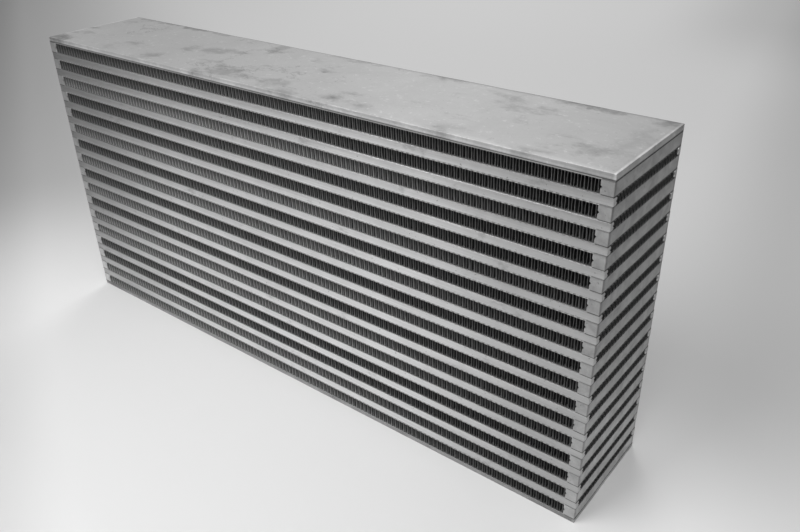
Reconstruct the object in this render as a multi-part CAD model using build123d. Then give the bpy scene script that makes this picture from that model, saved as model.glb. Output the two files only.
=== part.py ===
"""Bar-and-plate intercooler core, without end tanks.

A brazed stack of flat layers between two side plates. Cooling layers, open at the
front and rear, alternate with charge layers, open at the left and right ends. Each
layer holds one folded fin strip. Parting sheets separate the layers, and bars close
each layer along the two sides where it isn't open.

Millimetres. +Z up, +X along the core, front cooling face at -Y. The origin is at the
centre of the bottom side plate's underside.
"""
import os
from math import sqrt

from build123d import *

# Core
core_length = 600.0  # X, between the two faces that end tanks are welded to
core_depth = 105.0  # Y, between the front and rear cooling faces
cooling_layers = 17  # there is one charge layer between each two cooling layers

# Layers, along Z
cooling_height = 9.4
charge_height = 5.9
sheet_thickness = 0.6
bottom_plate_thickness = 3.4
top_plate_thickness = 4.8

# Edges
plate_edge_radius = 0.6  # rolled outer edges of the side plates
sheet_setback = 0.1  # parting sheets stop this far inside the bars' outer faces

# Bars: extruded section with bevelled corners and a V groove along the inner side
end_bar_width = 9.3
long_bar_width = 4.8
bar_outer_bevel = 0.3
end_bar_inner_bevel = 0.4
long_bar_inner_bevel = 1.6
bar_groove_depth = 1.3
bar_groove_height = 2.4

# Fin strips: walls lean alternately, and each fold is brazed to a parting sheet.
# A production strip has about four times as many, thinner cooling folds and twice as
# many charge folds; the strips here weigh the same with fewer folds.
cooling_fin_walls = 60
cooling_fin_thickness = 0.55
charge_fin_walls = 24
charge_fin_thickness = 0.4
fin_setback = 0.2  # strips stop this far inside the open faces
fin_side_gap = 0.3  # between a strip's last wall and the bar beside it

# Worked out from the values above
charge_layers = cooling_layers - 1
layer_pitch = cooling_height + charge_height + 2 * sheet_thickness
first_sheet_z = bottom_plate_thickness
last_sheet_top_z = first_sheet_z + charge_layers * layer_pitch + cooling_height + 2 * sheet_thickness


def cooling_z(layer):
    """Height of the underside of a cooling layer, counted from 0 at the bottom."""
    return first_sheet_z + sheet_thickness + layer * layer_pitch


def charge_z(layer):
    """Height of the underside of the charge layer above that cooling layer."""
    return cooling_z(layer) + cooling_height + sheet_thickness


def along_depth(outline, depth):
    """Solid of an (X, Z) outline, centred on Y."""
    section = make_face(Plane.XZ.offset(-depth / 2) * Polyline(*outline, close=True))
    return extrude(section, amount=depth, dir=(0, -1, 0))


def along_length(outline, length):
    """Solid of a (Y, Z) outline, centred on X."""
    section = make_face(Plane.YZ.offset(-length / 2) * Polyline(*outline, close=True))
    return extrude(section, amount=length, dir=(1, 0, 0))


def bar_outline(outer, width, height, inner_bevel, inward):
    """Bar section from its outer face, with the groove half-way up the inner side.

    outer is the outer face's place across the bar, and inward is +1 or -1.
    """
    inner = outer + inward * width
    middle = height / 2
    return [
        (outer + inward * bar_outer_bevel, 0),
        (outer, bar_outer_bevel),
        (outer, height - bar_outer_bevel),
        (outer + inward * bar_outer_bevel, height),
        (inner - inward * inner_bevel, height),
        (inner, height - inner_bevel),
        (inner, middle + bar_groove_height / 2),
        (inner - inward * bar_groove_depth, middle),
        (inner, middle - bar_groove_height / 2),
        (inner, inner_bevel),
        (inner - inward * inner_bevel, 0),
    ]


def fin_outline(width, height, walls, thickness):
    """Section of a folded strip, centred across, with its folds on both sheets."""
    spacing = width / walls
    slope = (height - thickness) / spacing
    upright = thickness * sqrt(1 + slope**2)  # wall thickness measured vertically
    across = [-width / 2 + fold * spacing for fold in range(walls + 1)]
    upper = [(x, height if fold % 2 else upright) for fold, x in enumerate(across)]
    lower = [(x, height - upright if fold % 2 else 0) for fold, x in enumerate(across)]
    return upper + lower[::-1]


def side_plate(thickness, outer_face):
    """Flat plate whose outer edges are rounded; outer_face is Axis.Z's last or first."""
    plate = Box(core_length, core_depth, thickness, align=(Align.CENTER, Align.CENTER, Align.MIN))
    return fillet(plate.faces().sort_by(Axis.Z)[outer_face].edges(), plate_edge_radius)


def parting_sheet():
    return Box(
        core_length - 2 * sheet_setback,
        core_depth - 2 * sheet_setback,
        sheet_thickness,
        align=(Align.CENTER, Align.CENTER, Align.MIN),
    )


def cooling_fin():
    width = core_length - 2 * (end_bar_width + fin_side_gap)
    outline = fin_outline(width, cooling_height, cooling_fin_walls, cooling_fin_thickness)
    return along_depth(outline, core_depth - 2 * fin_setback)


def charge_fin():
    width = core_depth - 2 * (long_bar_width + fin_side_gap)
    outline = fin_outline(width, charge_height, charge_fin_walls, charge_fin_thickness)
    return along_length(outline, core_length - 2 * fin_setback)


def end_bar(side):
    """Closes a cooling layer at the left (-1) or right (+1) end, over the full depth."""
    outer = side * core_length / 2
    outline = bar_outline(outer, end_bar_width, cooling_height, end_bar_inner_bevel, -side)
    return along_depth(outline, core_depth)


def long_bar(side):
    """Closes a charge layer at the front (-1) or rear (+1), over the full length."""
    outer = side * core_depth / 2
    outline = bar_outline(outer, long_bar_width, charge_height, long_bar_inner_bevel, -side)
    return along_length(outline, core_length)


def stacked(piece, heights):
    """One node of separate, equal pieces, each with its underside at a given height."""
    return Compound(children=[Pos(0, 0, z) * piece for z in heights])


cooling_heights = [cooling_z(layer) for layer in range(cooling_layers)]
charge_heights = [charge_z(layer) for layer in range(charge_layers)]

nodes = {
    "bottom_side_plate": side_plate(bottom_plate_thickness, 0),
    "top_side_plate": Pos(0, 0, last_sheet_top_z) * side_plate(top_plate_thickness, -1),
    "end_bars_left": stacked(end_bar(-1), cooling_heights),
    "end_bars_right": stacked(end_bar(1), cooling_heights),
    "long_bars_front": stacked(long_bar(-1), charge_heights),
    "long_bars_rear": stacked(long_bar(1), charge_heights),
}
for layer, z in enumerate(cooling_heights):
    nodes[f"cooling_fin_{layer + 1:02d}"] = Pos(0, 0, z) * cooling_fin()
    nodes[f"parting_sheets_{layer + 1:02d}"] = stacked(parting_sheet(), [z - sheet_thickness, z + cooling_height])
for layer, z in enumerate(charge_heights):
    nodes[f"charge_fin_{layer + 1:02d}"] = Pos(0, 0, z) * charge_fin()

os.makedirs("parts", exist_ok=True)
for name, shape in nodes.items():
    export_step(shape, f"parts/{name}.step")
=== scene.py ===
import math

import bpy
import numpy as np
from mathutils import Matrix, Vector


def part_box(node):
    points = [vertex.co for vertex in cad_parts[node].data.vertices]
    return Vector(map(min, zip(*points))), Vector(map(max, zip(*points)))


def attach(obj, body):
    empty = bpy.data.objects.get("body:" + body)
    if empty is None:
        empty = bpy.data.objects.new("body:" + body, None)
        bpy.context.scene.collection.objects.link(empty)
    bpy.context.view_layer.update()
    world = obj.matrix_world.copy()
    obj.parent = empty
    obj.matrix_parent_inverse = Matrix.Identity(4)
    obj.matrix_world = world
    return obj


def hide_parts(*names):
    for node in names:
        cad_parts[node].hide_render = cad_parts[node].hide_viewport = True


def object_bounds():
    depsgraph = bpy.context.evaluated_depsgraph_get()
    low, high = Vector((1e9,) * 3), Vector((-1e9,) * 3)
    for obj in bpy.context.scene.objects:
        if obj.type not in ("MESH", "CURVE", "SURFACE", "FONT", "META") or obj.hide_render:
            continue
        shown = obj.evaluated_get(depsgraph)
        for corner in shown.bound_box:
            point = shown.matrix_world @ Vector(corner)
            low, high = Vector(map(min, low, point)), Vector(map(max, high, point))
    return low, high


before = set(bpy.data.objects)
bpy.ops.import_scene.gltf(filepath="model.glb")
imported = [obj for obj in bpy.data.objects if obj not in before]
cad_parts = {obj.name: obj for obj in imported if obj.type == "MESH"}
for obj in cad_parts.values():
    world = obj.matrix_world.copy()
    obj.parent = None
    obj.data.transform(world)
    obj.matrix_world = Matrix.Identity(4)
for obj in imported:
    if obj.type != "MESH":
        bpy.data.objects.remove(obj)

cad_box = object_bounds()

# ---- Side plates --------------------------------------------------------------------
# Two rolled aluminium plates clamp the stack during brazing and stay on it as its lid
# and base. Handling has worn their outer edges bright, and the furnace and its flux
# have left mottling, stains and tide marks on the flat faces. Their colour also has
# painted highlights, on the rims at both ends and low on the lid's front and rear
# faces, and painted shade toward the right-hand end and the ends of those faces.
lid_edge_radius = 0.0005
base_edge_radius = 0.0002
plate_edge_steps = 3
plate_columns, plate_rows = 130, 24
plate_joint_bevel = 0.0003  # along the edge against the stack
plate_ripple = 0.00010  # how far the outer face wanders near its edges
plate_ripple_reach = 0.004  # how far in from an edge it does
plate_ripple_turns = (61, 143, 190)  # radians a metre: two waves along and one across
plate_ripple_shares = (1.0, 0.6, 0.5)
plate_tone = 0.49
half_length, half_depth = cad_box[1].x, cad_box[1].y
stack_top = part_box("top_side_plate")[0].z
stack_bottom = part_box("bottom_side_plate")[1].z

# flux stains on the lid: x and y, reach along x and along y, all in mm, and strength
lid_stains = (
    (-215, 51, 98, 7, 0.40),
    (-70, 38, 9, 24, 0.25),
    (108, 49, 20, 6, 0.30),
    (233, 48, 38, 9, 0.40),
    (292, 46, 15, 14, 0.35),
    (-291, -46, 24, 15, 0.55),
    (-215, -42, 17, 9, 0.15),
    (-151, -38, 15, 12, 0.32),
    (-50, -30, 12, 6, 0.30),
    (2, -37, 16, 13, 0.28),
    (15, 10, 4, 3, 0.45),
    (65, -41, 17, 9, 0.30),
    (98, -44, 16, 7, 0.22),
    (175, -42, 19, 9, 0.15),
    (286, 0, 14, 42, 0.15),
    (-295, -5, 9, 6, 0.40),
)
stain_depth = 0.009  # how far under the lid's outer face a stain still counts

# how far in from a plate's edge a mark starts, and where it is full
plate_side_fade = (0.00025, 0.00002)
end_wear_and_highlight_fade = (0.0026, 0.0007)
side_wear_fade = (0.0012, 0.0005)
rear_line_fade = (0.0022, 0.0008)
# the same, upward from the stack's top
lid_joint_fade = (0.0012, 0.0006)
lip_highlight_heights = (0.0007, 0.0018, 0.0032)  # start, middle and end
# the same, upward from the top of the base
base_fade = (0.001, 0.0)
base_joint_fade = (-0.0006, -0.0001)
# the same, along the plates from their middle
shaded_side_ends = (0.245, 0.285)
shaded_right_part = (0.04, 0.26)
marked_left_part = (0.16, 0.02)


def add_piece(name, points, faces, material, sharp_angle=35):
    """Makes a mesh object of the core, which rides on the core's only body."""
    mesh = bpy.data.meshes.new(name)
    mesh.from_pydata(np.asarray(points).reshape(-1, 3).tolist(), [], faces)
    mesh.polygons.foreach_set("use_smooth", [True] * len(mesh.polygons))
    mesh.set_sharp_from_angle(angle=math.radians(sharp_angle))
    mesh.materials.append(material)
    piece = bpy.data.objects.new(name, mesh)
    bpy.context.scene.collection.objects.link(piece)
    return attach(piece, "root")


def new_group(name, inputs, outputs):
    """A shader node group, what it is given and what it puts out.

    Inputs are (name, kind, value), and outputs are (name, kind).
    """
    group = bpy.data.node_groups.new(name, "ShaderNodeTree")
    for socket_name, kind, value in inputs:
        socket = group.interface.new_socket(socket_name, in_out="INPUT", socket_type=kind)
        if value is not None:
            socket.default_value = value
    for socket_name, kind in outputs:
        group.interface.new_socket(socket_name, in_out="OUTPUT", socket_type=kind)
    given = group.nodes.new("NodeGroupInput").outputs
    result = group.nodes.new("NodeGroupOutput").inputs
    return group, given, result


def add_node(tree, kind, values=None, **settings):
    """Adds a node, with settings as its properties and values as its inputs."""
    node = tree.nodes.new(kind)
    for key, value in settings.items():
        setattr(node, key, value)
    for socket, value in (values or {}).items():
        if isinstance(value, bpy.types.NodeSocket):
            tree.links.new(value, node.inputs[socket])
        else:
            node.inputs[socket].default_value = value
    return node


def math_node(tree, operation, first, second=0.0, third=0.0, clamp=False):
    """Output of one Math node."""
    values = {0: first, 1: second, 2: third}
    return add_node(tree, "ShaderNodeMath", values, operation=operation, use_clamp=clamp).outputs[0]


def vector_node(tree, operation, first, second):
    """Output of one Vector Math node."""
    values = {0: first, 1: second}
    return add_node(tree, "ShaderNodeVectorMath", values, operation=operation).outputs[0]


def grey(tree, tone):
    """The neutral colour of a tone."""
    return add_node(tree, "ShaderNodeCombineColor", {0: tone, 1: tone, 2: tone}).outputs[0]


def own_place(tree):
    """Place over the piece, in metres."""
    return add_node(tree, "ShaderNodeTexCoord").outputs["Object"]


def axes(tree, vector):
    """The x, y and z of a vector."""
    return add_node(tree, "ShaderNodeSeparateXYZ", {0: vector}).outputs


def part_place(tree):
    """x, y and z over the piece, with x and y as distances from its middle."""
    x, y, z = axes(tree, own_place(tree))
    return math_node(tree, "ABSOLUTE", x), math_node(tree, "ABSOLUTE", y), z


def ramp_between(tree, value, low, high):
    """0 at low and before it, 1 at high and past it, and smooth between."""
    node = add_node(
        tree,
        "ShaderNodeMapRange",
        {"Value": value, "From Min": low, "From Max": high},
        interpolation_type="SMOOTHSTEP",
    )
    return node.outputs[0]


def edge_mask(tree, off_middle, half_size, fade):
    """0 at the first distance of fade inward from an edge, and 1 at the second."""
    return ramp_between(tree, off_middle, half_size - fade[0], half_size - fade[1])


def height_mask(tree, z, level, fade):
    """0 at the first height of fade over a level, and 1 at the second."""
    return ramp_between(tree, z, level + fade[0], level + fade[1])


def overlap(tree, *masks):
    """The masks multiplied together, so 1 only where each of them is."""
    product = masks[0]
    for mask in masks[1:]:
        product = math_node(tree, "MULTIPLY", product, mask)
    return product


def inverse(tree, mask):
    """1 where the mask is 0, and 0 where it is 1."""
    return math_node(tree, "SUBTRACT", 1.0, mask)


def band(tree, value, start, middle, end):
    """0 at start and at end, and 1 at middle."""
    rise = ramp_between(tree, value, start, middle)
    fall = ramp_between(tree, value, end, middle)
    return overlap(tree, rise, fall)


def toned(tree, tone, marks):
    """The tone, multiplied by the factor of each (mask, factor) where its mask is 1."""
    for mask, factor in marks:
        change = math_node(tree, "MULTIPLY_ADD", mask, factor - 1, 1.0)
        tone = math_node(tree, "MULTIPLY", change, tone)
    return tone


def noise(tree, vector, scale, detail=3.0, roughness=0.55, stretch=(1, 1, 1)):
    """Noise over a place, drawn out along an axis whose stretch is under 1."""
    place = add_node(tree, "ShaderNodeMapping", {"Vector": vector, "Scale": stretch}).outputs[0]
    values = {"Vector": place, "Scale": scale, "Detail": detail, "Roughness": roughness}
    return add_node(tree, "ShaderNodeTexNoise", values).outputs["Fac"]


def patches(tree, vector, scale, low, high, **settings):
    """Mask of the patches where a noise is over low, full where it is over high."""
    return ramp_between(tree, noise(tree, vector, scale, **settings), low, high)


def furnace_mottle_group():
    """Cloudy grey stain that a brazing furnace leaves, with fine grain and dark specks."""
    tree, given, result = new_group(
        "furnace_mottle",
        [
            ("Tone", "NodeSocketFloat", 0.5),
            ("Cloud", "NodeSocketFloat", 0.2),
            ("Cloud Scale", "NodeSocketFloat", 20.0),
            ("Grain", "NodeSocketFloat", 0.1),
            ("Grain Stretch", "NodeSocketVector", (1, 1, 1)),
            ("Specks", "NodeSocketFloat", 0.3),
            ("Roughness", "NodeSocketFloat", 0.45),
        ],
        [("Color", "NodeSocketColor"), ("Roughness", "NodeSocketFloat"), ("Height", "NodeSocketFloat")],
    )
    gloss_of_cloud = 0.35  # how much of a pale cloud comes off the roughness
    height_of_cloud = 0.5  # beside the grain's height
    place = own_place(tree)
    values = {
        "Vector": place,
        "Scale": given["Cloud Scale"],
        "Detail": 6.0,
        "Roughness": 0.62,
        "Distortion": 0.8,
    }
    cloud = add_node(tree, "ShaderNodeTexNoise", values).outputs["Fac"]
    cloud_part = math_node(tree, "MULTIPLY", math_node(tree, "SUBTRACT", cloud, 0.5), given["Cloud"])
    stretched = vector_node(tree, "MULTIPLY", place, given["Grain Stretch"])
    grain = noise(tree, stretched, scale=900.0, detail=2.0)
    grain_part = math_node(tree, "MULTIPLY", math_node(tree, "SUBTRACT", grain, 0.5), given["Grain"])
    lift = math_node(tree, "ADD", 1.0, math_node(tree, "ADD", cloud_part, grain_part))
    specks = patches(tree, place, scale=420.0, low=0.70, high=0.76, detail=1.0)
    unspecked = inverse(tree, math_node(tree, "MULTIPLY", specks, given["Specks"]))
    share = math_node(tree, "MULTIPLY", lift, unspecked)
    tone = math_node(tree, "MULTIPLY", share, given["Tone"], clamp=True)
    gloss = math_node(tree, "MULTIPLY", cloud_part, gloss_of_cloud)
    cloud_height = math_node(tree, "MULTIPLY", cloud, height_of_cloud)
    tree.links.new(grey(tree, tone), result["Color"])
    tree.links.new(math_node(tree, "SUBTRACT", given["Roughness"], gloss), result["Roughness"])
    tree.links.new(math_node(tree, "ADD", grain, cloud_height), result["Height"])
    return tree


furnace_mottle = furnace_mottle_group()


def aluminium(name, roughness, metallic, cloud, cloud_scale, grain, specks, bump, stretch=(1, 1, 1)):
    """A mottled aluminium; returns its material and its mottle, whose Tone is still free."""
    bump_height = 0.0002
    material = bpy.data.materials.new(name)
    material.use_nodes = True
    tree = material.node_tree
    values = {
        "Cloud": cloud,
        "Cloud Scale": cloud_scale,
        "Grain": grain,
        "Grain Stretch": stretch,
        "Specks": specks,
        "Roughness": roughness,
    }
    mottle = add_node(tree, "ShaderNodeGroup", values, node_tree=furnace_mottle)
    values = {"Height": mottle.outputs["Height"], "Strength": bump, "Distance": bump_height}
    relief = add_node(tree, "ShaderNodeBump", values)
    shader = tree.nodes["Principled BSDF"]
    shader.inputs["Metallic"].default_value = metallic
    tree.links.new(mottle.outputs["Color"], shader.inputs["Base Color"])
    tree.links.new(mottle.outputs["Roughness"], shader.inputs["Roughness"])
    tree.links.new(relief.outputs[0], shader.inputs["Normal"])
    return material, mottle


def flux_stain_group():
    """Ragged patch, 1 at its middle and 0 past its reach along each axis."""
    tree, given, result = new_group(
        "flux_stain",
        [
            ("Place", "NodeSocketVector", None),
            ("Middle", "NodeSocketVector", (0, 0, 0)),
            ("Reach", "NodeSocketVector", (1, 1, 1)),
            ("Strength", "NodeSocketFloat", 1.0),
        ],
        [("Mask", "NodeSocketFloat")],
    )
    raggedness = 2.2
    stain_edge, stain_core = 1.05, 0.1  # of the reach
    away = vector_node(tree, "SUBTRACT", given["Place"], given["Middle"])
    scaled = vector_node(tree, "DIVIDE", away, given["Reach"])
    distance = add_node(tree, "ShaderNodeVectorMath", {0: scaled}, operation="LENGTH").outputs["Value"]
    blots = noise(tree, given["Place"], scale=110.0, detail=7.0, roughness=0.72)
    ragged = math_node(tree, "MULTIPLY_ADD", blots, raggedness, -raggedness / 2)
    inside = ramp_between(tree, math_node(tree, "ADD", distance, ragged), stain_edge, stain_core)
    tree.links.new(math_node(tree, "MULTIPLY", inside, given["Strength"]), result["Mask"])
    return tree


flux_stain = flux_stain_group()


def stain_mask(tree, stains, height, warp=0.010, warp_scale=55.0):
    """Mask of all the flux stains on a flat face at that height."""
    place = own_place(tree)
    values = {"Vector": place, "Scale": warp_scale, "Detail": 4.0}
    wave = add_node(tree, "ShaderNodeTexNoise", values).outputs["Color"]
    centred = vector_node(tree, "SUBTRACT", wave, (0.5, 0.5, 0.5))
    values = {0: centred, "Scale": 2 * warp}
    bend = add_node(tree, "ShaderNodeVectorMath", values, operation="SCALE").outputs[0]
    warped = vector_node(tree, "ADD", place, bend)
    total = 0.0
    for x, y, reach_x, reach_y, strength in stains:
        values = {
            "Place": warped,
            "Middle": (x / 1000, y / 1000, height),
            "Reach": (reach_x / 1000, reach_y / 1000, stain_depth),
            "Strength": strength,
        }
        stain = add_node(tree, "ShaderNodeGroup", values, node_tree=flux_stain)
        total = math_node(tree, "MAXIMUM", stain.outputs["Mask"], total)
    return total


def rolled_slab(low, high, outward, radius):
    """Flat slab with its outer face's edges rolled over; outward is +1 if that face is up.

    Each grid point past the start of the roll drops along a quarter circle.
    """
    middle_x, middle_y = (low.x + high.x) / 2, (low.y + high.y) / 2
    half_x, half_y = (high.x - low.x) / 2, (high.y - low.y) / 2
    roll = radius * np.sin(np.linspace(0, math.pi / 2, plate_edge_steps + 1))
    across_x = np.linspace(-1, 1, plate_columns) * (half_x - radius)
    across_y = np.linspace(-1, 1, plate_rows) * (half_y - radius)
    x = np.concatenate([-(half_x - radius) - roll[:0:-1], across_x, half_x - radius + roll[1:]])
    y = np.concatenate([-(half_y - radius) - roll[:0:-1], across_y, half_y - radius + roll[1:]])
    grid_x, grid_y = np.meshgrid(x, y, indexing="ij")
    past_x = np.maximum(abs(grid_x) - (half_x - radius), 0)
    past_y = np.maximum(abs(grid_y) - (half_y - radius), 0)
    reach = np.maximum(past_x, past_y)
    length = np.hypot(past_x, past_y)
    # draws each corner in to a quarter circle, seen from above
    shrink = np.where(length > 0, reach / np.maximum(length, 1e-12), 1)
    grid_x = np.sign(grid_x) * (abs(grid_x) - past_x + past_x * shrink)
    grid_y = np.sign(grid_y) * (abs(grid_y) - past_y + past_y * shrink)
    drop = radius - np.sqrt(np.maximum(radius**2 - reach**2, 0))
    turn_x, turn_x_fine, turn_y = plate_ripple_turns
    waves = (np.sin(grid_x * turn_x + 1), np.sin(grid_x * turn_x_fine), np.sin(grid_y * turn_y))
    wander = plate_ripple * sum(share * wave for share, wave in zip(plate_ripple_shares, waves))
    from_edge = np.minimum(half_x - abs(grid_x), half_y - abs(grid_y))
    edge_nearness = np.exp(-from_edge / plate_ripple_reach)
    face = (high.z if outward > 0 else low.z) - outward * (drop + abs(wander) * edge_nearness)
    outer = np.stack([grid_x + middle_x, grid_y + middle_y, face], axis=-1)
    index = np.arange(grid_x.size).reshape(grid_x.shape)
    corners = (index[:-1, :-1], index[1:, :-1], index[1:, 1:], index[:-1, 1:])
    quads = np.stack(corners, axis=-1).reshape(-1, 4)
    if outward < 0:
        quads = quads[:, ::-1]
    # two rings lead to the face against the stack, one on each side of its bevel
    rim = np.concatenate([index[:, 0], index[-1, 1:], index[-2::-1, -1], index[0, -2:0:-1]])
    back = low.z if outward > 0 else high.z
    ring = outer.reshape(-1, 3)[rim].copy()
    ring[:, 2] = back + outward * plate_joint_bevel
    joint = ring.copy()
    joint[:, 2] = back
    joint[:, 0] -= np.clip(joint[:, 0] - middle_x, -1, 1) * plate_joint_bevel / half_x
    joint[:, 1] -= np.clip(joint[:, 1] - middle_y, -1, 1) * plate_joint_bevel / half_y
    points = np.concatenate([outer.reshape(-1, 3), ring, joint])
    sides = []
    above = rim
    for level in range(2):
        below = index.size + level * len(rim) + np.arange(len(rim))
        strip = np.stack([above, below, np.roll(below, -1), np.roll(above, -1)], axis=-1)
        sides += (strip if outward > 0 else strip[:, ::-1]).tolist()
        above = below
    base = above[::-1] if outward > 0 else above
    return points, quads.tolist() + sides + [base.tolist()]


plate_finish, plate_mottle = aluminium(
    "satin_plate",
    roughness=0.5,
    metallic=0.6,
    cloud=0.30,
    cloud_scale=16.0,
    grain=0.1,
    specks=0.25,
    bump=0.12,
)
tree = plate_finish.node_tree
off_x, off_y, z = part_place(tree)
place = own_place(tree)
x, y, _ = axes(tree, place)
end_face = edge_mask(tree, off_x, half_length, plate_side_fade)
side_face = edge_mask(tree, off_y, half_depth, plate_side_fade)
on_base = height_mask(tree, z, stack_bottom, base_fade)
base_joint = overlap(tree, on_base, height_mask(tree, z, stack_bottom, base_joint_fade))
lid_joint = overlap(tree, height_mask(tree, z, stack_top, lid_joint_fade), inverse(tree, on_base))
# painted highlight: a bright band low on the lid's front and rear faces
lip_highlight = overlap(tree, side_face, band(tree, z, *(stack_top + height for height in lip_highlight_heights)))
end_edge = edge_mask(tree, off_x, half_length, end_wear_and_highlight_fade)
outer_edges = math_node(tree, "MAXIMUM", end_edge, edge_mask(tree, off_y, half_depth, side_wear_fade))
worn_patches = patches(tree, place, scale=38.0, low=0.47, high=0.60, detail=5.0, roughness=0.7)
rubbed_and_highlight_patches = patches(tree, place, scale=60.0, low=0.25, high=0.60, detail=4.0)
tide = noise(tree, place, scale=15.0, detail=7.0, roughness=0.62, stretch=(0.6, 1, 1))
tide_lines = band(tree, tide, start=0.492, middle=0.500, end=0.508)
tide_patches = patches(tree, place, scale=21.0, low=0.47, high=0.57, detail=2.0)
tide_marks = overlap(tree, ramp_between(tree, x, *marked_left_part), tide_lines, tide_patches)
swirls = patches(
    tree, place, scale=34.0, low=0.53, high=0.68, detail=8.0, roughness=0.68, stretch=(0.6, 1, 1)
)
flecks = patches(tree, place, scale=210.0, low=0.57, high=0.70, detail=4.0, roughness=0.7)
plate_marks = (
    (stain_mask(tree, lid_stains, cad_box[1].z), 0.0),
    (swirls, 0.72),
    (flecks, 1.22),
    (tide_marks, 0.70),
    # painted shade: darker toward the right-hand end
    (ramp_between(tree, x, *shaded_right_part), 0.92),
    (overlap(tree, outer_edges, worn_patches), 1.15),
    # worn rims at both ends, with a painted highlight along them
    (overlap(tree, end_edge, rubbed_and_highlight_patches), 1.6),
    (edge_mask(tree, y, half_depth, rear_line_fade), 0.68),
    (end_face, 0.62),
    (overlap(tree, side_face, on_base), 0.72),
    # painted shade: the front and rear faces darker toward both ends
    (overlap(tree, side_face, ramp_between(tree, off_x, *shaded_side_ends)), 0.72),
    (lid_joint, 0.35),
    (base_joint, 0.5),
    (lip_highlight, 1.22),
)
tree.links.new(toned(tree, plate_tone, plate_marks), plate_mottle.inputs["Tone"])
for node, outward, edge_radius in (
    ("bottom_side_plate", -1, base_edge_radius),
    ("top_side_plate", 1, lid_edge_radius),
):
    low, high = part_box(node)
    points, faces = rolled_slab(low, high, outward, edge_radius)
    plate = add_piece(node.replace("side_plate", "plate"), points, faces, plate_finish)
    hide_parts(node)

# ---- Parting sheets -----------------------------------------------------------------
# Thin sheets clad with braze alloy separate the layers. Only their cut edges show, as a
# fine line between two bars, greyed by flux. The line has painted shade where a folded
# strip leaves a gap, at the bar corners, deep inside and toward the ends, and painted
# glints in the middle.
sheet_tone = 0.56
cooling_layers = sum(name.startswith("cooling_fin_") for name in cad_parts)
cooling_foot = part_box("cooling_fin_01")[0].z
layer_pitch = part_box("cooling_fin_02")[0].z - cooling_foot
cooling_wall_spacing = 0.002234
under_slot_share = 0.8  # a sheet at more than this share of the pitch is under a cooling strip
gap_edge = 0.3  # either side of nought on the wave that tells gaps from folds

# how far in from the stack's edge a mark starts, and where it is full
sheet_edge_fade = (0.0006, 0.0003)
sheet_inner_shade_fade = (0.0005, 0.0008)
end_bar_crossing = (0.0092, 0.0082)
long_bar_crossing = (0.0055, 0.0045)
past_end_bars = (0.0095, 0.0105)
past_long_bars = (0.0047, 0.0055)
# the same, upward from the stack's top
top_sheet_fade = (-0.0008, -0.0006)
# the same, along the sheets from their middle
glinting_sheet_part = (0.25, 0.12)
shaded_sheet_ends = (0.12, 0.28)


def layer_share(tree, z, foot):
    """0 at the foot of a strip, and rising to 1 at the foot of the next of its kind."""
    layers = math_node(tree, "MULTIPLY_ADD", z, 1 / layer_pitch, -foot / layer_pitch)
    return math_node(tree, "FRACT", layers)


def gap_masks(tree, off_middle):
    """Masks of every second gap of a folded strip, and of the gaps between those."""
    angle = math_node(tree, "MULTIPLY", off_middle, math.pi / cooling_wall_spacing)
    turn = math_node(tree, "COSINE", angle)
    return ramp_between(tree, turn, -gap_edge, gap_edge), ramp_between(tree, turn, gap_edge, -gap_edge)


sheet_finish, sheet_mottle = aluminium(
    "clad_sheet",
    roughness=0.5,
    metallic=0.75,
    cloud=0.3,
    cloud_scale=60.0,
    grain=0.2,
    specks=0.3,
    bump=0.1,
)
tree = sheet_finish.node_tree
off_x, off_y, z = part_place(tree)
under_slot = math_node(tree, "GREATER_THAN", layer_share(tree, z, cooling_foot), under_slot_share)
over_slot = inverse(tree, under_slot)
crossing = overlap(
    tree,
    edge_mask(tree, off_x, half_length, end_bar_crossing),
    edge_mask(tree, off_y, half_depth, long_bar_crossing),
)
sheet_end = edge_mask(tree, off_x, half_length, sheet_edge_fade)
sheet_side = edge_mask(tree, off_y, half_depth, sheet_edge_fade)
under_side = overlap(tree, sheet_side, under_slot)
open_above, open_below = gap_masks(tree, off_x)
open_end = gap_masks(tree, off_y)[0]
# painted shade on the sheet's edge where a folded strip leaves a gap
end_gap_shade = overlap(tree, sheet_end, edge_mask(tree, off_y, half_depth, past_long_bars), open_end)
between_ends = edge_mask(tree, off_x, half_length, past_end_bars)
top_sheet = height_mask(tree, z, stack_top, top_sheet_fade)
upper_gap_shade = overlap(tree, sheet_side, between_ends, over_slot, open_above, inverse(tree, top_sheet))
lower_gap_shade = overlap(tree, under_side, between_ends, open_below)
painted_glints = patches(tree, own_place(tree), scale=420.0, low=0.5, high=0.62)
sheet_marks = (
    # dark joints where end bars and long bars meet, darker under a slot as painted shade below the end bar
    (overlap(tree, crossing, under_slot), 0.35),
    (overlap(tree, crossing, over_slot), 0.55),
    # painted shade deep inside the core
    (edge_mask(tree, off_y, half_depth, sheet_inner_shade_fade), 0.45),
    (sheet_end, 0.55),
    (end_gap_shade, 0.15),
    (upper_gap_shade, 0.55),
    (lower_gap_shade, 0.7),
    # painted glints along the middle of the lower sheets
    (overlap(tree, under_side, painted_glints, ramp_between(tree, off_x, *glinting_sheet_part)), 1.3),
    # painted shade toward the ends of the lower sheets
    (overlap(tree, under_side, ramp_between(tree, off_x, *shaded_sheet_ends)), 0.75),
    (top_sheet, 0.75),
)
tree.links.new(toned(tree, sheet_tone, sheet_marks), sheet_mottle.inputs["Tone"])
for layer in range(cooling_layers):
    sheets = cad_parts[f"parting_sheets_{layer + 1:02d}"]
    sheets.data.materials.clear()
    sheets.data.materials.append(sheet_finish)

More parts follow.
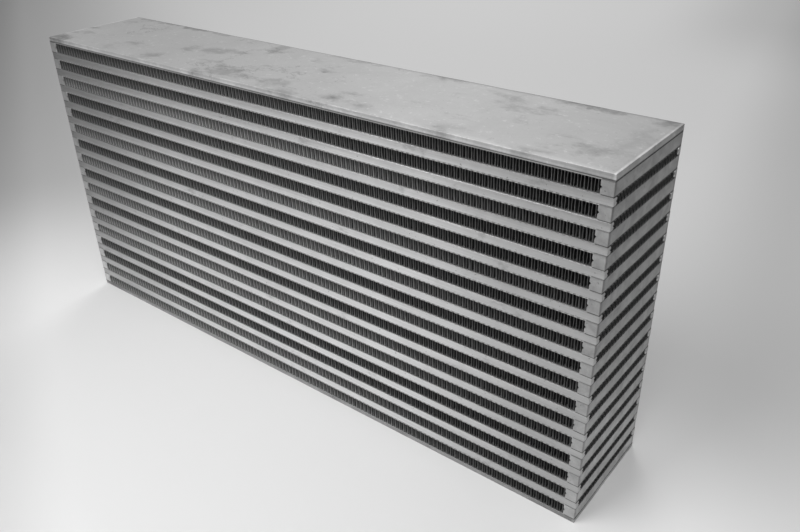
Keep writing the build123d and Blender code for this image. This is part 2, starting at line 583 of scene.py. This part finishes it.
# ---- Cooling fins -------------------------------------------------------------------
# Each cooling layer holds one aluminium strip, folded into tall narrow walls that also
# wave from front to rear. Braze holds every fold to its sheet and fills the corner at
# its foot. Some strips were laid the other way round, so their first wave turns away;
# these get more painted shade toward the right-hand end.
cooling_wall_lean = 0.00010
cooling_wall_bow = 0.00012
cooling_strip_thickness = 0.0002
cooling_wave_depths = (0.0, 0.0014, 0.0028, 0.0046, 0.0066)  # places along a wave, from a face
cooling_wave_length = 0.0105
cooling_wave_height = 0.00037
cooling_fold_web = 0.00025  # strip and braze together at the middle of a fold
turned_layers = (0, 1, 4, 5, 7, 9, 11, 14)
wall_place_spread = 0.045  # of the spacing
wall_lean_range = (0.5, 1.5)  # of the strip's usual lean
fold_rise = 0.0010  # height over which a wall rolls into its fold
fold_foot = 0.0003  # how far the braze spreads from a wall at the sheet
fold_shoulder = 0.00032  # from a wall to the flat of the braze inside a fold
strip_sharp_angle = 50

cut_depth = 0.00012  # how far in from the open face the tone of the cut edge reaches
strip_shade_foot = 0.12  # share of the layer pitch where a strip starts to darken upward
strip_shade_head = 0.95  # share of the strip's height where it is darkest
upward_turn = (0.25, 0.75)  # z of the normal where a face starts to count as upward and gets painted shade
shaded_side_turn = (-0.2, 0.2)  # of the wave that tells the side of a wall with painted shade from the other
# where painted shade starts and where it is full, across the open face from its middle
shaded_right_walls = (0.04, 0.28)
shaded_left_walls = (-0.10, -0.28)
shaded_upper_left = (-0.06, -0.27)
shaded_upper_part = (0.03, 0.22)  # in height

random = np.random.default_rng(7)


def folded_skins(width, height, spacing, lean, bow, thickness, fold_web):
    """Both skins of a folded strip, left and right of the path that it follows.

    Each wall gives three points to a skin, and each fold two: the feet of the braze on
    its outer side, and the shoulders of the gap on its inner side.
    """
    walls = int(round(width / spacing))
    middle = (np.arange(walls) + 0.5) * width / walls - width / 2
    middle = middle + random.normal(0, wall_place_spread, walls) * spacing
    leans = lean * random.uniform(*wall_lean_range, walls)
    bows = random.normal(0, bow, walls)
    half = thickness / 2
    skins = [[], []]
    for wall in range(walls):
        rising = wall % 2 == 0
        side = -1 if rising else 1
        start, end = (fold_rise, height - fold_rise) if rising else (height - fold_rise, fold_rise)
        points = [
            (middle[wall] - leans[wall], start),
            (middle[wall] + bows[wall], height / 2),
            (middle[wall] + leans[wall], end),
        ]
        for skin, offset in zip(skins, (side * half, -side * half)):
            skin += [(x + offset, z) for x, z in points]
        if wall == walls - 1:
            continue
        this_wall = middle[wall] + leans[wall]
        next_wall = middle[wall + 1] - leans[wall + 1]
        outer, inner = (height, height - fold_web) if rising else (0.0, fold_web)
        foot = half + fold_foot
        feet = [(this_wall - foot, outer), (next_wall + foot, outer)]
        shoulders = [
            (this_wall + half + fold_shoulder, inner),
            (next_wall - half - fold_shoulder, inner),
        ]
        skins[0 if rising else 1] += feet
        skins[1 if rising else 0] += shoulders
    return np.array(skins)


def wave_stations(low, high, depths):
    """Places along a strip: close together near both faces, and none between."""
    return np.concatenate([low + np.array(depths), high - np.array(depths[:-1])[::-1]])


def wave_shift(stations, wave_length, wave_height):
    """How far a strip's wave carries its walls sideways at each station."""
    return wave_height * np.sin(2 * math.pi * (stations - stations[0]) / wave_length)


def folded_strip(skins, stations, shift):
    """Closed strip with those skins at each station, moved sideways by shift."""
    points = np.zeros((2, len(stations), skins.shape[1], 3))
    points[..., 0] = skins[:, None, :, 0] + shift[None, :, None]
    points[..., 1] = stations[None, :, None]
    points[..., 2] = skins[:, None, :, 1]
    index = np.arange(points[..., 0].size).reshape(points.shape[:3])
    grids = (
        index[0][::-1],
        index[1],
        index[:, 0],
        index[::-1, -1],
        index[:, :, 0][::-1],
        index[:, :, -1],
    )
    faces = []
    for grid in grids:
        corners = (grid[:-1, :-1], grid[1:, :-1], grid[1:, 1:], grid[:-1, 1:])
        faces.append(np.stack(corners, axis=-1).reshape(-1, 4))
    return points.reshape(-1, 3), np.concatenate(faces).tolist()


def strip_shade_group():
    """Tone of a folded strip: its cut edge, then metal with painted shade further in.

    Every second wall has painted shade, as do faces that look up, the top of each layer
    and the upper left and both ends of the core.
    """
    tree, given, result = new_group(
        "strip_shade",
        [
            ("Along", "NodeSocketFloat", 0.0),
            ("Across", "NodeSocketFloat", 0.0),
            ("Height", "NodeSocketFloat", 0.0),
            ("Layer Share", "NodeSocketFloat", 0.0),
            ("Upward", "NodeSocketFloat", 0.0),
            ("Open Face", "NodeSocketFloat", 0.05),
            ("Shade Head", "NodeSocketFloat", 0.7),
            ("Cut Tone", "NodeSocketFloat", 0.1),
            ("Mouth Tone", "NodeSocketFloat", 1.0),
            ("Depth Tone", "NodeSocketFloat", 0.1),
            ("Shade Depth", "NodeSocketFloat", 0.002),
            ("Right Shade", "NodeSocketFloat", 0.0),
        ],
        [("Tone", "NodeSocketFloat")],
    )
    across = given["Across"]
    # painted shade: darker further in from the open face
    shade_start = math_node(tree, "SUBTRACT", given["Open Face"], given["Shade Depth"])
    unshaded = ramp_between(tree, given["Along"], shade_start, given["Open Face"])
    gain = math_node(tree, "SUBTRACT", given["Mouth Tone"], given["Depth Tone"])
    tone = math_node(tree, "MULTIPLY_ADD", unshaded, gain, given["Depth Tone"])
    # painted shade toward the right-hand end
    right_walls = ramp_between(tree, across, *shaded_right_walls)
    right_share = inverse(tree, math_node(tree, "MULTIPLY", right_walls, given["Right Shade"]))
    tone = math_node(tree, "MULTIPLY", right_share, tone)
    # painted shade at the upper left of the core
    upper_left = overlap(
        tree,
        ramp_between(tree, across, *shaded_upper_left),
        ramp_between(tree, given["Height"], *shaded_upper_part),
    )
    wall_angle = math_node(tree, "MULTIPLY", across, math.pi / cooling_wall_spacing)
    shaded_side = ramp_between(tree, math_node(tree, "SINE", wall_angle), *shaded_side_turn)
    # painted shade at the left end, upper left, on upward faces, every second wall and each layer's top
    shade_marks = (
        (ramp_between(tree, across, *shaded_left_walls), 0.88),
        (upper_left, 0.72),
        (given["Upward"], 0.25),
        (shaded_side, 0.55),
        (ramp_between(tree, given["Layer Share"], strip_shade_foot, given["Shade Head"]), 0.62),
    )
    tone = toned(tree, tone, shade_marks)
    cut_start = math_node(tree, "SUBTRACT", given["Open Face"], cut_depth)
    cut = math_node(tree, "GREATER_THAN", given["Along"], cut_start)
    edge = math_node(tree, "MULTIPLY", cut, given["Cut Tone"])
    inside = math_node(tree, "MULTIPLY", inverse(tree, cut), tone)
    tree.links.new(math_node(tree, "ADD", edge, inside), result["Tone"])
    return tree


strip_shade = strip_shade_group()


def strip_finish(name, strip, axis, cut_tone, mouth_tone, depth_tone, shade_depth, right_shade):
    """Strip aluminium; axis is 1 where the strip opens at the front and rear, 0 at the ends."""
    low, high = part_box(strip)
    material, mottle = aluminium(
        name,
        roughness=0.5,
        metallic=0.6,
        cloud=0.3,
        cloud_scale=90.0,
        grain=0.1,
        specks=0.1,
        bump=0.05,
    )
    tree = material.node_tree
    place = part_place(tree)
    normal = add_node(tree, "ShaderNodeNewGeometry").outputs["Normal"]
    values = {
        "Along": place[axis],
        "Across": axes(tree, own_place(tree))[1 - axis],
        "Height": place[2],
        "Layer Share": layer_share(tree, place[2], low.z),
        "Upward": ramp_between(tree, axes(tree, normal)[2], *upward_turn),
        "Open Face": high[axis],
        "Shade Head": strip_shade_head * (high.z - low.z) / layer_pitch,
        "Cut Tone": cut_tone,
        "Mouth Tone": mouth_tone,
        "Depth Tone": depth_tone,
        "Shade Depth": shade_depth,
        "Right Shade": right_shade,
    }
    shade = add_node(tree, "ShaderNodeGroup", values, node_tree=strip_shade)
    tree.links.new(shade.outputs["Tone"], mottle.inputs["Tone"])
    return material


cooling_finish = strip_finish(
    "folded_cooling_strip",
    "cooling_fin_01",
    axis=1,
    cut_tone=0.11,
    mouth_tone=1.0,
    depth_tone=0.11,
    shade_depth=0.0019,
    right_shade=0.16,
)
# a copy with more painted shade toward the right-hand end, for the turned strips
turned_shaded_finish = strip_finish(
    "turned_cooling_strip_more_shade",
    "cooling_fin_01",
    axis=1,
    cut_tone=0.10,
    mouth_tone=1.0,
    depth_tone=0.11,
    shade_depth=0.0019,
    right_shade=0.48,
)
for layer in range(cooling_layers):
    node = f"cooling_fin_{layer + 1:02d}"
    low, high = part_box(node)
    skins = folded_skins(
        width=high.x - low.x,
        height=high.z - low.z,
        spacing=cooling_wall_spacing,
        lean=cooling_wall_lean,
        bow=cooling_wall_bow,
        thickness=cooling_strip_thickness,
        fold_web=cooling_fold_web,
    )
    stations = wave_stations(low.y, high.y, cooling_wave_depths)
    turned = layer in turned_layers
    wave_height = cooling_wave_height if turned else -cooling_wave_height
    points, faces = folded_strip(skins, stations, wave_shift(stations, cooling_wave_length, wave_height))
    points[:, 2] += low.z
    finish = turned_shaded_finish if turned else cooling_finish
    fin = add_piece(f"folded_cooling_strip_{layer + 1:02d}", points, faces, finish, strip_sharp_angle)
    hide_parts(node)

# ---- Charge fins --------------------------------------------------------------------
# The hot side's strips are lower, are folded at the same spacing, and run the other way,
# from the left face to the right one. They are brazed in as the cooling strips are.
charge_layers = cooling_layers - 1
charge_wall_spacing = cooling_wall_spacing
charge_wall_lean = 0.00028
charge_wall_bow = 0.0001
charge_strip_thickness = 0.0002
charge_wave_depths = (0.0, 0.0015, 0.003, 0.0055)
charge_wave_length = 0.012
charge_wave_height = 0.0005
charge_fold_web = 0.0006
# painted near black, as painted shade in the charge slots
charge_finish = strip_finish(
    "folded_charge_strip",
    "charge_fin_01",
    axis=0,
    cut_tone=0.10,
    mouth_tone=0.03,
    depth_tone=0.015,
    shade_depth=0.0015,
    right_shade=0.0,
)
for layer in range(charge_layers):
    node = f"charge_fin_{layer + 1:02d}"
    low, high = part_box(node)
    skins = folded_skins(
        width=high.y - low.y,
        height=high.z - low.z,
        spacing=charge_wall_spacing,
        lean=charge_wall_lean,
        bow=charge_wall_bow,
        thickness=charge_strip_thickness,
        fold_web=charge_fold_web,
    )
    stations = wave_stations(low.x, high.x, charge_wave_depths)
    shift = wave_shift(stations, charge_wave_length, charge_wave_height)
    points, faces = folded_strip(skins, stations, shift)
    points = points[:, [1, 0, 2]]  # turned a quarter, to run from left to right
    points[:, 2] += low.z
    faces = [face[::-1] for face in faces]
    fin = add_piece(f"folded_charge_strip_{layer + 1:02d}", points, faces, charge_finish, strip_sharp_angle)
    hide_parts(node)

# ---- End bars and long bars -----------------------------------------------------------
# Drawn aluminium bars close the layers: end bars at both ends of each cooling layer, and
# long bars along the front and rear of each charge layer. Their outer corners are soft,
# and their inner side has two lobes with a groove between them. Their colour has painted
# light from the floor low down and on the left end bars, and painted shade toward the
# ends of the long bars.
end_bar_tone = 0.372
long_bar_tone = 0.78
end_shade_of_long_bars = 0.40
bar_upper_radius = 0.00022
bar_lower_radius = 0.00045
end_bar_lobe_radius = 0.0004
long_bar_lobe_radius = 0.0016
groove_depth = 0.0013
groove_half_height = 0.0012
bar_wander = 0.00012  # a bar never bulges outward, only inward by up to twice this
bar_wander_knots = 7
bar_end_shrink = 0.8  # how much smaller its end face is, in lower radii
end_bar_stations = 14
long_bar_stations = 30
bar_sharp_angle = 40
core_length = cad_box[1].x - cad_box[0].x
core_depth = cad_box[1].y - cad_box[0].y

# how far in from the stack's edge the greying of a corner starts, and where it is full
corner_end_fade = (0.0008, 0.0003)
corner_side_fade = (0.0042, 0.0006)
# height where a bar starts to get painted light from the floor, and where it has the most
floor_lit_end_bars = (0.16, 0.0)
floor_lit_long_bars = (0.14, 0.0)
shaded_bar_ends = (0.10, half_length)  # along a bar, from its middle


def quarter(centre, radius, start, steps=3):
    """Points on a quarter circle about centre, from an angle in degrees."""
    angles = np.radians(start + np.linspace(0, 90, steps + 1))
    return [(centre[0] + radius * math.cos(a), centre[1] + radius * math.sin(a)) for a in angles]


def bar_section(width, height, lobe):
    """Bar section: (0, 0) is the lower outer corner, and the inner side is at width."""
    lower, upper = bar_lower_radius, bar_upper_radius
    outline = quarter((lower, lower), lower, 180)
    outline += quarter((width - lobe, lobe), lobe, 270)
    outline += [(width, height / 2 - groove_half_height), (width - groove_depth, height / 2)]
    outline += [(width, height / 2 + groove_half_height)]
    outline += quarter((width - lobe, height - lobe), lobe, 0)
    outline += quarter((upper, height - upper), upper, 90)
    return np.array(outline)


def loft(loops):
    """Closed mesh through loops of points, with a face across each end."""
    stations, around = loops.shape[:2]
    index = np.arange(stations * around).reshape(stations, around)
    ahead = np.roll(index, -1, axis=1)
    sides = np.stack([index[:-1], ahead[:-1], ahead[1:], index[1:]], axis=-1).reshape(-1, 4)
    return loops.reshape(-1, 3), sides.tolist() + [index[0, ::-1].tolist(), index[-1].tolist()]


def drawn_bar(section, length, stations):
    """Bar along the first axis, with softened ends and a slight wander across."""
    softened = bar_lower_radius
    place = np.linspace(-length / 2, length / 2, stations)
    first, last = place[0], place[-1]
    place = np.concatenate([[first, first + softened], place[1:-1], [last - softened, last]])
    knots = np.minimum(abs(random.normal(0, bar_wander, bar_wander_knots)), 2 * bar_wander)
    wander = np.interp(place, np.linspace(-length / 2, length / 2, bar_wander_knots), knots)
    size = section.max(0) - section.min(0)
    middle = (section.max(0) + section.min(0)) / 2
    end_share = (size - bar_end_shrink * softened) / size
    loops = np.zeros((len(place), len(section), 3))
    for station, at in enumerate(place):
        at_end = station in (0, len(place) - 1)
        shape = (section - middle) * (end_share if at_end else 1)
        loops[station, :, 0] = at
        loops[station, :, 1] = shape[:, 0] + middle[0] + wander[station]
        loops[station, :, 2] = shape[:, 1] + middle[1]
    return loft(loops)


def bar_stack(strip, layers, width, lobe, length, stations):
    """Bars beside every strip of a kind: points (along, inward, height) and faces."""
    points, faces, start = [], [], 0
    for layer in range(layers):
        bottom, top = (end.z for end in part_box(f"{strip}_{layer + 1:02d}"))
        bar_points, bar_faces = drawn_bar(bar_section(width, top - bottom, lobe), length, stations)
        bar_points[:, 2] += bottom
        points.append(bar_points)
        faces += [[start + corner for corner in face[::-1]] for face in bar_faces]
        start += len(bar_points)
    return np.concatenate(points), faces


end_bar_finish, end_bar_mottle = aluminium(
    "drawn_end_bar",
    roughness=0.45,
    metallic=0.85,
    cloud=0.9,
    cloud_scale=90.0,
    grain=0.2,
    specks=0.35,
    bump=0.1,
    stretch=(1, 0.04, 1),
)
tree = end_bar_finish.node_tree
off_x, off_y, z = part_place(tree)
left_end = math_node(tree, "LESS_THAN", axes(tree, own_place(tree))[0], 0.0)
stack_corner = overlap(
    tree,
    edge_mask(tree, off_x, half_length, corner_end_fade),
    edge_mask(tree, off_y, half_depth, corner_side_fade),
)
end_bar_marks = (
    # painted light from the floor on the lower end bars
    (ramp_between(tree, z, *floor_lit_end_bars), 1.22),
    # painted light: the left end bars paler than the right ones, which face away from the lamps
    (left_end, 1.28),
    (stack_corner, 0.66),
)
tree.links.new(toned(tree, end_bar_tone, end_bar_marks), end_bar_mottle.inputs["Tone"])
for side, node in ((-1, "end_bars_left"), (1, "end_bars_right")):
    low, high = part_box(node)
    width = high.x - low.x
    points, faces = bar_stack(
        "cooling_fin", cooling_layers, width, end_bar_lobe_radius, core_depth, end_bar_stations
    )
    along, inward, height = points.T
    outer = high.x if side > 0 else low.x
    placed = np.stack([outer - side * inward, -side * along, height], axis=-1)
    piece = add_piece(node + "_drawn", placed, faces, end_bar_finish, bar_sharp_angle)
    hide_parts(node)

long_bar_finish, long_bar_mottle = aluminium(
    "drawn_long_bar",
    roughness=0.42,
    metallic=1.0,
    cloud=0.28,
    cloud_scale=30.0,
    grain=0.28,
    specks=0.4,
    bump=0.1,
    stretch=(0.02, 1, 1),
)
tree = long_bar_finish.node_tree
off_x, off_y, z = part_place(tree)
place = own_place(tree)
smears = patches(
    tree, place, scale=46.0, low=0.58, high=0.70, detail=6.0, roughness=0.72, stretch=(0.6, 1, 1)
)
long_bar_marks = (
    # painted shade toward both ends of the long bars
    (ramp_between(tree, off_x, *shaded_bar_ends), 1 - end_shade_of_long_bars),
    # painted light from the floor on the lower long bars
    (ramp_between(tree, z, *floor_lit_long_bars), 1.03),
    (smears, 0.78),
)
tree.links.new(toned(tree, long_bar_tone, long_bar_marks), long_bar_mottle.inputs["Tone"])
for side, node in ((-1, "long_bars_front"), (1, "long_bars_rear")):
    low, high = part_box(node)
    width = high.y - low.y
    points, faces = bar_stack(
        "charge_fin", charge_layers, width, long_bar_lobe_radius, core_length, long_bar_stations
    )
    along, inward, height = points.T
    outer = high.y if side > 0 else low.y
    placed = np.stack([side * along, outer - side * inward, height], axis=-1)
    piece = add_piece(node + "_drawn", placed, faces, long_bar_finish, bar_sharp_angle)
    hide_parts(node)

# ---- Floor, light and camera ----------------------------------------------------------
# The core stands on a pale paper sweep, whose colour has painted shade to the left, to
# the right and far behind, and a painted pool of light beside the right-hand end. Two
# soft lamps light the core from the front, a third hangs over the paper behind it, and
# weak light comes from all round. The camera stands above the right-hand end of the front face.
floor_reach = 8.0
floor_tone = 0.82
floor_roughness = 0.9
world_strength = 0.33

# lines on the floor: a point on it, and the way in which the distance from it grows
left_of_core = ((-0.299, -0.174), (-0.88, 0.475))
behind_left_end = ((-0.65, 0.018), (0.475, 0.88))
before_left_end = ((-0.254, -0.141), (-0.475, -0.88))
right_of_core = ((0.463, -0.457), (0.985, 0.174))
right_of_far_paper = ((-0.372, 1.697), (0.985, 0.174))
lit_spot = (0.305, 0.02, 0)  # middle of a painted pool of light beside the right-hand end, where the core's shadow falls

# where painted shade or light on the floor starts, and where it is full
far_left_fade = (0.05, 0.45)
beside_fade = (0.55, -0.05)
near_left_shade_fade = (0.0, 0.08)
right_fade = (-0.15, 0.02)
past_base_fade = (-0.05, 0.32)
far_right_fade = (0.0, 0.33)
far_back_fade = (1.1, 1.7)
lit_spot_fade = (0.13, 0.02)

floor_finish = bpy.data.materials.new("paper_sweep")
floor_finish.use_nodes = True
tree = floor_finish.node_tree
floor_x, floor_y, _ = axes(tree, own_place(tree))


def line_mask(tree, line, fade):
    """0 at the first distance of fade from a line on the floor, and 1 at the second."""
    start, way = line
    x = math_node(tree, "MULTIPLY", math_node(tree, "SUBTRACT", floor_x, start[0]), way[0])
    y = math_node(tree, "MULTIPLY", math_node(tree, "SUBTRACT", floor_y, start[1]), way[1])
    return ramp_between(tree, math_node(tree, "ADD", x, y), *fade)


on_floor = add_node(tree, "ShaderNodeCombineXYZ", {0: floor_x, 1: floor_y}).outputs[0]
values = {0: on_floor, 1: lit_spot}
from_spot = add_node(tree, "ShaderNodeVectorMath", values, operation="DISTANCE").outputs["Value"]
shade_far_left = overlap(
    tree,
    line_mask(tree, left_of_core, far_left_fade),
    line_mask(tree, behind_left_end, beside_fade),
)
shade_right_side = overlap(
    tree,
    line_mask(tree, right_of_core, right_fade),
    ramp_between(tree, floor_y, *past_base_fade),
)
shade_far_right = overlap(
    tree,
    line_mask(tree, right_of_far_paper, far_right_fade),
    ramp_between(tree, floor_y, *far_back_fade),
)
# painted shade on the floor, and a painted pool of light beside the core
floor_marks = (
    (shade_far_left, 0.59),
    (line_mask(tree, before_left_end, near_left_shade_fade), 0.80),
    (shade_right_side, 0.77),
    (shade_far_right, 0.80),
    (ramp_between(tree, from_spot, *lit_spot_fade), 1.14),
)
floor_shader = tree.nodes["Principled BSDF"]
floor_shader.inputs["Roughness"].default_value = floor_roughness
tree.links.new(grey(tree, toned(tree, floor_tone, floor_marks)), floor_shader.inputs["Base Color"])
floor_mesh = bpy.data.meshes.new("paper_floor")
floor_corners = [
    (-floor_reach, -floor_reach, 0),
    (floor_reach, -floor_reach, 0),
    (floor_reach, floor_reach, 0),
    (-floor_reach, floor_reach, 0),
]
floor_mesh.from_pydata(floor_corners, [], [[0, 1, 2, 3]])
floor_mesh.materials.append(floor_finish)
floor = bpy.data.objects.new("paper_floor", floor_mesh)
bpy.context.scene.collection.objects.link(floor)

world = bpy.data.worlds.new("studio")
world.use_nodes = True
world.node_tree.nodes["Background"].inputs["Color"].default_value = (1, 1, 1, 1)
world.node_tree.nodes["Background"].inputs["Strength"].default_value = world_strength
bpy.context.scene.world = world


def soft_lamp(name, place, target, width, power):
    """Square lamp that faces a point and lights the core, but shows in no view."""
    data = bpy.data.lights.new(name, "AREA")
    data.size = width
    data.energy = power
    lamp = bpy.data.objects.new(name, data)
    lamp.location = place
    away = Vector(place) - Vector(target)
    lamp.rotation_euler = away.to_track_quat("Z", "Y").to_euler()
    lamp.visible_camera = False
    bpy.context.scene.collection.objects.link(lamp)


soft_lamp("front_lamp", place=(-0.14, -0.55, 0.85), target=(0, 0, 0.1), width=0.6, power=5.0)
soft_lamp("side_lamp", place=(0.5, -0.6, 1.0), target=(0.1, -0.1, 0.1), width=0.7, power=3.9)
soft_lamp("rear_lamp", place=(-0.9, 1.7, 2.0), target=(-0.9, 1.7, 0), width=1.0, power=16)

camera_place = (0.4634, -0.4570, 0.4630)
camera_turn = math.radians(38.763)  # from +Y towards -X
camera_tilt = math.radians(90 - 29.599)
camera_roll = math.radians(-1.382)
camera_data = bpy.data.cameras.new("viewpoint")
camera_data.lens = 35.453
camera_data.sensor_width = 36.0
camera_data.clip_start = 0.01
camera = bpy.data.objects.new("viewpoint", camera_data)
camera.matrix_world = (
    Matrix.Translation(camera_place)
    @ Matrix.Rotation(camera_turn, 4, "Z")
    @ Matrix.Rotation(camera_tilt, 4, "X")
    @ Matrix.Rotation(camera_roll, 4, "Z")
)
bpy.context.scene.collection.objects.link(camera)
bpy.context.scene.camera = camera
bpy.context.scene.view_settings.view_transform = "Standard"
